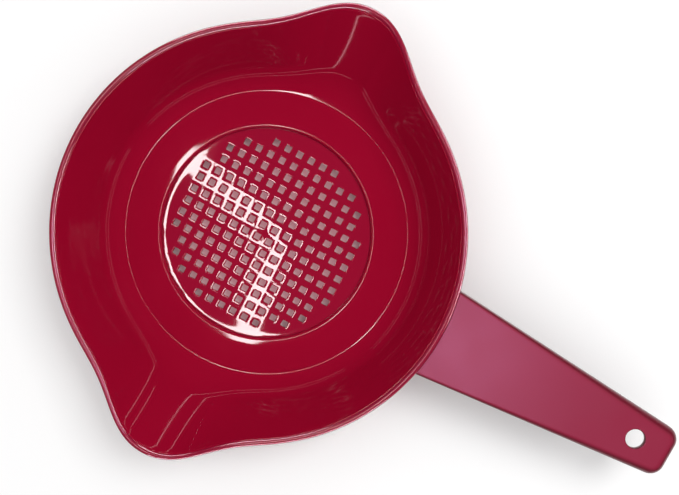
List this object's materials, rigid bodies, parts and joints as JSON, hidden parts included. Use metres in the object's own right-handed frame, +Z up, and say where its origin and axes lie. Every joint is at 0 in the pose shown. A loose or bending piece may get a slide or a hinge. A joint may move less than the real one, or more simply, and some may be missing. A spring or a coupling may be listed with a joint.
{
  "type": "hand colander",
  "caption": "Shallow hand colander: glossy bowl with two opposite pouring lips, a square-holed strainer plate in its floor, and a flat tapered handle with a hanging hole.",
  "frame": {"origin": "where the bowl's axis meets the surface that the foot ring stands on", "axes": "+Z up along the bowl's axis, +X along the handle away from the bowl, +Y and -Y towards the two pouring lips"},
  "size_m": [0.354, 0.2622, 0.045],
  "materials": {
    "bowl_gloss": "polished crimson moulded plastic",
    "plate_gloss": "polished crimson moulded plastic, square perforations",
    "handle_satin": "fine satin texture, crimson moulded plastic"
  },
  "bodies": {
    "root": {"bowl": "bowl_gloss", "strainer_plate": "plate_gloss", "handle": "handle_satin"}
  },
  "joints": []
}
